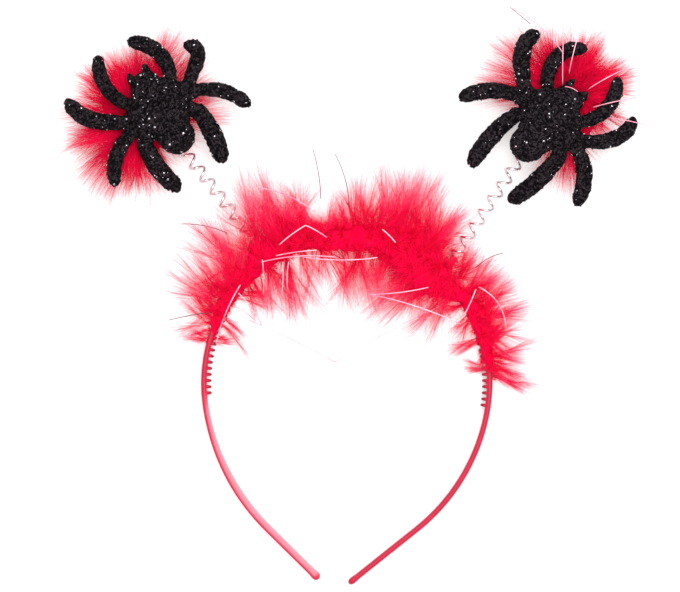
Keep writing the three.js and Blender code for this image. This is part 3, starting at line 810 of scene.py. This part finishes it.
# fans of tufts: least and most slope in degrees, from straight out, over the top, to straight in; from and
# to along the band; how many tufts
boaFans = {
    "dense": [(-6, 68, -82, 99, 106), (-6, 50, 26, 42, 6), (62, 118, -84, 100, 24),
              (112, 186, -84, 18, 30), (112, 186, 18, 34, 12), (112, 186, 34, 52, 26),
              (112, 186, 54, 100, 10)],
    "fringe": [(-6, 50, -82, 99, 56), (146, 186, -84, -48, 4), (146, 186, -48, -14, 7),
               (146, 186, -14, 18, 5), (146, 186, 18, 66, 8), (146, 186, 66, 100, 4)],
    "cover": [(140, 184, -30, 22, 19), (62, 118, -24, 22, 6), (62, 118, -80, -44, 4), (62, 118, 54, 98, 6)],
}
boa = {
    "dense": {"tuft": 2, "reach": (0.8, 1.3)},
    "fringe": {"tuft": 4, "reach": (0.5, 1.7)},
    "cover": {"tuft": 2, "reach": (0.8, 1.3)},
    "sunk": (-0.3, 0.25),  # where plumes leave the roll, as shares of their reach sideways
    "climb": (0.1, 0.55),  # and of their reach upwards
    "upwards": 0.3,  # how much shorter the plumes are that stand straight up
    "fringeUpwards": 0.45,  # and how much less the fringe passes the dense down there
    "inwards": 0.15,  # how much shorter dense plumes are that point into the head space
    "slopes": (0.618, 0.3),  # golden step from tuft to tuft, and its scatter
    "lean": 24.0,  # scatter of the tufts along the band, degrees
    "scatter": (1.2, 6.0, 5.0),  # of plumes in a tuft: millimetres along, degrees of slope and of lean
    "boxy": 3.0,  # 2 gives an ellipse across the band, more fills its upper corners
    "press": (30.0, 11.0),  # height above which the down presses itself flat, and how much higher it stands
    "dyeAndShade": (0.5, 0.5),  # least and range of its dye lots
    "parts": {"left_end": (-95, -48), "left_crown": (-48, -4), "right_crown": (-4, 40),
              "right_end": (40, 110)},
    "seed": 5,
    "coverSeed": 6,
}
boaRoll = {
    "share": 0.34,  # of the dense reach
    "inner": 0.55,  # how much farther it goes into the head space
    "past": 2.0,
    "rings": 150,
    "sides": 40,
    "blunt": 14,
    "lump": 0.2,
    "lumpLength": 5.0,
}


def boaAt(length):
    # table columns at any length, straight between the rows
    places = boaSections[:, 0]
    return {name: np.interp(length, places, boaSections[:, k]) for k, name in enumerate(boaColumns)}


def boaReach(length, slope):
    # dense down fills half a boxy ellipse across the band: |across / side|^p + |up / height|^p = 1
    row, power = boaAt(length), boa["boxy"]
    side = np.where(np.cos(slope) > 0, row["out"], row["into"])
    across, height = np.abs(np.cos(slope) / side), np.abs(np.sin(slope) / row["height"])
    return (across ** power + height ** power) ** (-1 / power)


def boaCore():
    # lumpy roll round the band, inside the dense reach, closed at both ends
    count, past = boaRoll["rings"], boaRoll["past"]
    length = np.linspace(boaSections[0, 0] - past, boaSections[-1, 0] + past, count)
    slope = np.linspace(0, 2 * np.pi, boaRoll["sides"], endpoint=False)
    point, outward, _ = bandAt(length)
    mirrored = np.where(slope > np.pi, 2 * np.pi - slope, slope)
    inner = 1 + boaRoll["inner"] * np.clip(-np.cos(slope), 0, 1)
    reach = boaRoll["share"] * inner * boaReach(length[:, None], mirrored[None])
    low = hairBand["wide"] / 2 - barbShape["floorClear"]
    across = reach * np.cos(slope)
    height = np.where(np.sin(slope) < 0, low * np.sin(slope), reach * np.sin(slope))
    ends = np.sqrt(np.clip(1 - np.abs(np.linspace(-1, 1, count)) ** boaRoll["blunt"], 0.02, 1))[:, None]
    centre = point + up * hairBand["wide"] / 2
    spokes = outward[:, None] * (across * ends)[..., None] + up * (height * ends)[..., None]
    bumps = waves((centre[:, None] + spokes).reshape(-1, 3), boaRoll["lumpLength"],
                  np.random.default_rng(boa["seed"]))
    lumps = 1 + boaRoll["lump"] * bumps.reshape(across.shape)
    rings = centre[:, None] + spokes * lumps[..., None]
    rings[..., 2] = np.maximum(rings[..., 2], barbShape["floorClear"])
    return skinTubes(rings[None], centre[:1], centre[-1:])


def boaPlumes(draw, kind):
    # tufts along the band, each with a slope in the plane across it, in golden steps so that neighbours
    # differ, and a lean along it; the plumes of a tuft are scattered about these, leave the roll near its
    # middle and end at the reach from the table
    low, high, first, last, many = np.array(boaFans[kind]).T
    fan = np.repeat(np.arange(len(many)), many)
    step, loose = boa["slopes"]
    spot = np.concatenate([(np.arange(n) + draw.random(n)) / n for n in many])
    share = np.concatenate([(step * np.arange(n) + loose * draw.random(n)) % 1 for n in many])
    tufts = np.stack([first[fan] + (last - first)[fan] * spot, low[fan] + (high - low)[fan] * share,
                      draw.normal(0, boa["lean"], len(fan))])
    tufts = np.repeat(tufts, boa[kind]["tuft"], axis=1)
    count = tufts.shape[1]
    length, slope, lean = tufts + np.array(boa["scatter"])[:, None] * draw.normal(size=(3, count))
    length = np.clip(length, boaSections[0, 0], boaSections[-1, 0])
    slope, lean = np.radians(slope), np.radians(lean)[:, None]
    level, rise = np.cos(slope), np.sin(slope)
    point, outward, along = bandAt(length)
    dense, row, inside = boaReach(length, slope), boaAt(length), level < 0
    rootAcross = dense * level * draw.uniform(*boa["sunk"], count)
    rootUp = dense * rise * draw.uniform(*boa["climb"], count)
    stretch = draw.uniform(*boa[kind]["reach"], count) * (1 - boa["upwards"] * np.abs(rise))
    if kind == "fringe":
        past = np.where(inside, row["inner"], row["fringe"]) * (1 - boa["fringeUpwards"] * np.abs(rise))
        target = dense + past * stretch
    else:
        target = dense * stretch * (1 - boa["inwards"] * inside)
    root = point + outward * rootAcross[:, None] + up * (hairBand["wide"] / 2 + rootUp)[:, None]
    way = outward * (target * level - rootAcross)[:, None] + up * (target * rise - rootUp)[:, None]
    reach = np.linalg.norm(way, axis=1)
    return length, root, unit(unit(way) * np.cos(lean) + along * np.sin(lean)), reach


def pressed(height):
    # straight up to the first height, then from + room * tanh((z - from) / room), so never above both
    low, room = boa["press"]
    return np.where(height > low, low + room * np.tanh((height - low) / room), height)


corePoints, coreFaces = boaCore()
boaPacked = packedDown("packedMarabouBoa", "#BC0030", "#E8003E")
corePiece = putPiece("boa_core", corePoints, coreFaces, boaPacked, "feather_down")
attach(corePiece, "headband")
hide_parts("feather_boa")
draw, coverDraw = (np.random.default_rng(boa[name]) for name in ("seed", "coverSeed"))
boaDraws = {"dense": draw, "fringe": draw, "cover": coverDraw}
boaDown = {kind: boaPlumes(boaDraws[kind], kind) for kind in boaDraws}
for part, (low, high) in boa["parts"].items():
    tubes, maps = [], []
    for kind, (length, root, way, reach) in boaDown.items():
        draw, look = boaDraws[kind], downLooks[kind]
        chosen = (length >= low) & (length < high)
        path, tone, fade = plumeBarbs(draw, root[chosen], way[chosen], reach[chosen], look)
        path[..., 2] = pressed(path[..., 2])
        free = clearOfSway(path, "left") & clearOfSway(path, "right")
        dyeAndShade = boa["dyeAndShade"][0] + boa["dyeAndShade"][1] * tone[free]
        tube, uv = barbTubes(path[free], dyeAndShade, fade[free], look["thick"], draw)
        tubes.append(tube)
        maps.append(uv)
    downPiece = putPiece(f"boa_down_{part}", *joinParts(tubes), downMaterial, "feather_down",
                         np.concatenate(maps))
    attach(downPiece, "headband")

# Feather puffs behind the spiders
# fans of tufts: their angles from and to, in degrees round from +X, their reach, how many tufts
puffFans = {
    "left": {
        "dense": [(75, 97, 33, 6), (97, 150, 34, 14), (150, 205, 31, 10), (205, 285, 37, 20),
                  (285, 330, 21, 4), (-30, 52, 31, 11), (52, 75, 36, 5)],
        "fringe": [(54, 74, 49, 4), (18, 42, 44, 4), (-12, 18, 41, 4), (95, 140, 36, 4), (150, 200, 40, 4),
                   (200, 250, 45, 7), (250, 280, 36, 3), (290, 325, 28, 2)],
    },
    "right": {
        "dense": [(0, 75, 30, 19), (75, 130, 28, 11), (135, 175, 30, 9), (175, 300, 18, 7),
                  (265, 272, 40, 6), (300, 360, 24, 7)],
        "fringe": [(0, 75, 33, 5), (75, 100, 35, 2), (100, 126, 41, 3), (128, 146, 43, 2),
                   (148, 172, 48, 5), (175, 195, 36, 2), (266, 271, 48, 4), (300, 325, 30, 1),
                   (325, 360, 31, 2)],
    },
}
puff = {
    "left": {"centre": (-90.4, 122.6)},
    "right": {"centre": (97.0, 131.0)},
    "top": 13.2,
    "core": {"wide": 17.0, "deep": 2.4, "height": 5.0, "lump": 0.14, "lumpLength": 8.0, "ball": (20, 60)},
    "dense": {"tuft": 2, "share": (0.75, 1.0), "start": (1, 12)},
    "fringe": {"tuft": 3, "share": (0.7, 1.0), "start": (3, 12)},
    "scatter": 0.1,  # of the plumes in a tuft, radians
    "slope": 9.0,  # scatter up and down, degrees
    "low": 3.0,  # least height of a plume's root
    "widest": 49.0,  # barbs that would end farther out are left off
    "paling": 0.75,  # of their tips, as a share of the boa's
    "dyeAndShade": (0.3, 0.28),  # least and range of their dye lots, begun below the boa's, which begin at a half: the deeper down is painted shade, as the puffs lie in the spiders' shadow
    "seed": 12,
}


def puffCore(side, draw):
    # flattened lumpy ball: latitude rings scaled to a width and the room under the plumes
    core = puff["core"]
    globe = ball(*core["ball"])
    size = np.array([core["wide"], core["wide"], core["deep"]])
    centre = np.array([*puff[side]["centre"], core["height"]])
    bumps = waves(globe.reshape(-1, 3) * core["wide"], core["lumpLength"], draw)
    lumps = 1 + core["lump"] * bumps.reshape(globe.shape[:2])
    rings = globe * size * lumps[..., None] + centre
    return skinTubes(rings[None], (centre - up * core["deep"])[None], (centre + up * core["deep"])[None])


def puffPlumes(side, draw, kind):
    # tufts near the middle, spread evenly over each fan's angles; ways slightly up or down, reach as listed
    low, high, full, many = np.array(puffFans[side][kind], dtype=float).T
    fan = np.repeat(np.arange(len(many)), many.astype(int))
    spot = np.concatenate([(np.arange(n) + draw.random(int(n))) / n for n in many])
    tufts = low[fan] + (high - low)[fan] * spot
    fan, tufts = (np.repeat(row, puff[kind]["tuft"]) for row in (fan, tufts))
    count = len(fan)
    angle = np.radians(tufts) + draw.normal(0, puff["scatter"], count)
    slope = np.radians(draw.normal(0, puff["slope"], count))
    level = np.cos(slope)
    way = np.stack([np.cos(angle) * level, np.sin(angle) * level, np.sin(slope)], axis=-1)
    start = draw.uniform(*puff[kind]["start"], count)
    target = full[fan] * draw.uniform(*puff[kind]["share"], count)
    root = np.array([*puff[side]["centre"], 0.0]) + way * start[:, None]
    root[:, 2] = draw.uniform(puff["low"], puff["top"] - 1, count)
    return root, way, target - start


puffPacked = packedDown("packedMarabouPuff", "#C40028", "#E60036")
for side in ("left", "right"):
    draw = np.random.default_rng(puff["seed"] + len(side))
    tubes, maps = [], []
    for kind in ("dense", "fringe"):
        look = downLooks[kind]
        path, tone, fade = plumeBarbs(draw, *puffPlumes(side, draw, kind), look)
        path[..., 2] = np.minimum(path[..., 2], puff["top"] - 0.5 * draw.random(path.shape[:2]))
        near = np.linalg.norm(path[:, -1, :2] - puff[side]["centre"], axis=1) < puff["widest"]
        dyeAndShade = puff["dyeAndShade"][0] + puff["dyeAndShade"][1] * tone[near]
        tube, uv = barbTubes(path[near], dyeAndShade, fade[near] * puff["paling"], look["thick"], draw)
        tubes.append(tube)
        maps.append(uv)
    puffPiece = putPiece(f"puff_core_{side}", *puffCore(side, draw), puffPacked, "feather_down")
    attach(puffPiece, f"bopper_{side}")
    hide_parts(f"feather_puff_{side}")
    downPiece = putPiece(f"puff_down_{side}", *joinParts(tubes), downMaterial, "feather_down",
                         np.concatenate(maps))
    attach(downPiece, f"bopper_{side}")

# Tinsel strips, stray quills, and a dark strip painting a reflection
# start, end, then how far the middle bows sideways and up
tinsel = {
    "headband": [
        ((-37.3, 58.5, 22), (-4, 60.4, 30), 1.6, 1), ((-31, 61.2, 26), (-13, 63.6, 31), 0.4, 1),
        ((-19, 60.6, 29), (13.3, 60.4, 28), -1.2, 2), ((-29.4, 66, 31), (-18, 74.4, 35), 0.4, 1),
        ((-18, 74.4, 35), (-8.7, 69.1, 33), 0.3, 1), ((-36.9, 59.5, 24), (-36.6, 44, 14), 0.3, 2),
        ((-28.1, 58.5, 24), (-29, 41.8, 12), 0.6, 2), ((-25.4, 58.5, 25), (-25.9, 46.2, 14), -0.5, 2),
        ((-43, 33, 6), (-5.2, 14.5, 3), 0.6, 0), ((-5.2, 14.5, 3), (43, 40, 6), 0.8, 0),
        ((-41, 91.5, 18), (-14, 80.3, 30), 2.0, 2), ((15.5, 72.6, 34), (21.2, 66.9, 35), 0.2, 0),
        ((35.5, 47.4, 30), (9.6, 44.4, 24), 0.8, 2), ((9.6, 44.4, 24), (49.8, 31.2, 26), 1.4, 3),
        ((56.4, 46.6, 24), (51.1, 34.8, 22), 0.2, 1), ((57.7, 47.5, 24), (69.6, 30, 18), 3.0, 2),
        ((-46.6, 48.4, 24), (-57.4, 22.4, 12), -1.2, 2), ((-47.4, 44.8, 20), (-37.3, 30.8, 9), 0.8, 2),
        ((-50, 39.5, 18), (-40.5, 33, 10), 0.5, 1),
    ],
    "bopper_left": [((-87, 104, 8), (-86.6, 83.6, 4), 0.4, 1)],
    "bopper_right": [
        ((94.7, 149.6, 22), (71.8, 169.4, 24), -2.0, 3), ((94.7, 135.1, 13), (94.7, 160.6, 26), 0.3, 3),
        ((97.3, 141, 16), (101.3, 158.4, 25), 0.3, 3), ((105.7, 134.2, 16), (121.5, 142.8, 24), 0.4, 3),
        ((107.9, 126.3, 16), (126.5, 130.2, 24), 0.3, 3), ((114, 121.8, 16), (137.8, 116.2, 16), 0.6, 6),
        ((95.3, 135.2, 21.4), (101.0, 132.9, 22.2), 0.5, 1),
    ],
    "wide": 0.4,
    "thick": 0.08,
}
strayQuillsAndReflection = {
    "headband": [
        ((-14.9, 107.8, 30), (-11.4, 86, 25), 0.8, 1), ((-5.2, 105.6, 32), (1.0, 82, 25), 1.5, 2),
        ((-72.5, 75.2, 14), (-52, 71, 15), 1.2, 1), ((-78.2, 33, 8), (-60, 36.4, 9), 0.3, 0.5),
        ((68.7, 62.5, 14), (56.5, 56, 15), -1.0, 1),
    ],
    # not a quill: a dark strip laid over the outer end of the white tinsel strip, painted reflection of the
    # dark that this end shows
    "bopper_right": [((71.2, 169.9, 24.4), (80.2, 162.5, 24.4), 0, 0.3)],
    "wide": 0.36,  # a little wider than the real ones, so that they show on the pale floor
    "thick": 0.24,
}
stripShape = {"steps": 14, "edgePower": 4.0, "sides": 8}  # of both


def tinselStrips(kind, body):
    # flat strip along start + (end - start) t, bowed by 4 t (1 - t) to its side and upwards
    rows = kind[body]
    start, end = (np.array([row[k] for row in rows], dtype=float) for k in (0, 1))
    bowSide, bowUp = (np.array([row[k] for row in rows], dtype=float)[:, None, None] for k in (2, 3))
    t = np.linspace(0, 1, stripShape["steps"])[:, None]
    bow = 4 * t * (1 - t)
    level, _ = crossways(end - start)
    path = start[:, None] + (end - start)[:, None] * t + bow * (level[:, None] * bowSide + up * bowUp)
    halves = kind["wide"] / 2, kind["thick"] / 2
    section = superEllipse(*halves, stripShape["edgePower"], stripShape["sides"])
    ring = layOut(*crossways(np.gradient(path, axis=1)), section)
    return skinTubes(path[:, :, None] + ring, path[:, 0], path[:, -1])


def pearlFilm():
    # slit polyester film with a pearl coat: pale pink, sliding towards white along its length; the film's
    # own pearl is pale, and the deeper pink is painted reflection of the red down the strips lie on
    return grained("pearlTinselFilm", 8.0, {}, [(0.35, "#E87494"), (0.65, "#F8B4C4")],
                   {"IOR": 1.64, "Coat Weight": 0.25}, shine=(0.12, 0.3))


def bareQuill():
    # quills stripped of their down, dyed with it: dull mauve-brown, darker in places; the same colours
    # paint the dark reflection on the right bopper's tinsel end
    return grained("strippedQuillAndDarkReflection", 6.0, {}, [(0.35, "#4E2C38"), (0.65, "#80545F")],
                   {"Roughness": 0.6, "Specular IOR Level": 0.2})


tinselMaterial, quillAndReflectionMaterial = pearlFilm(), bareQuill()
for body in ("headband", "bopper_left", "bopper_right"):
    stripPiece = putPiece(f"tinsel_{body}", *tinselStrips(tinsel, body), tinselMaterial, "feather_down")
    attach(stripPiece, body)
for body in ("headband", "bopper_right"):
    quillAndReflectionPiece = putPiece(f"stray_quills_and_reflection_{body}", *tinselStrips(strayQuillsAndReflection, body), quillAndReflectionMaterial,
                          "feather_down")
    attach(quillAndReflectionPiece, body)

# Floor, light and camera
studio = {
    "floor": 3.0,
    "floorGlow": 0.3,
    "bounces": 10,
    "world": 1.1,
    "key": 48.0,
    "keySize": 1.4,
    "keyPlace": (0.25, 0.3, 2.2),
}
photoView = {"middle": (-3.0, 43.6, 3.5), "height": 3000.0, "field": 299.2, "sensor": 36.0}


def paleFloor():
    # plain matt sheet on a light table, pale: just bright enough to go white, so thin strands still show
    glow = {"Emission Color": (1.0, 1.0, 1.0, 1.0), "Emission Strength": studio["floorGlow"]}
    return grained("plainPaleFloor", 4.0, {"Detail": 2.0}, [(0.0, "#CCCCCC"), (1.0, "#D0D0D0")],
                   {"Roughness": 0.9, "Specular IOR Level": 0.1, **glow})


floorMesh = bpy.data.meshes.new("floor")
half = studio["floor"] / 2
fillMesh(floorMesh, np.array([(-half, -half, 0), (half, -half, 0), (half, half, 0), (-half, half, 0)]),
         [np.array([[0, 1, 2, 3]])])
floorMesh.materials.append(paleFloor())
floor = bpy.data.objects.new("floor", floorMesh)
bpy.context.collection.objects.link(floor)

world = bpy.data.worlds.new("softStudio")
bpy.context.scene.world = world
world.use_nodes = True
world.node_tree.nodes["Background"].inputs["Color"].default_value = (1.0, 1.0, 1.0, 1.0)
world.node_tree.nodes["Background"].inputs["Strength"].default_value = studio["world"]

keyData = bpy.data.lights.new("softKey", "AREA")
keyData.energy, keyData.size = studio["key"], studio["keySize"]
key = bpy.data.objects.new("softKey", keyData)
key.location = studio["keyPlace"]
key.rotation_euler = (-key.location).to_track_quat("-Z", "Y").to_euler()
bpy.context.collection.objects.link(key)

cameraData = bpy.data.cameras.new("photoView")
cameraData.sensor_width = photoView["sensor"]
cameraData.lens = photoView["sensor"] * (photoView["height"] - photoView["middle"][2]) / photoView["field"]
camera = bpy.data.objects.new("photoView", cameraData)
camera.location = toFrame((*photoView["middle"][:2], photoView["height"]))
bpy.context.collection.objects.link(camera)
bpy.context.scene.camera = camera
bpy.context.scene.view_settings.view_transform = "Standard"
bpy.context.scene.cycles.diffuse_bounces = studio["bounces"]
print("floor, light and camera placed")
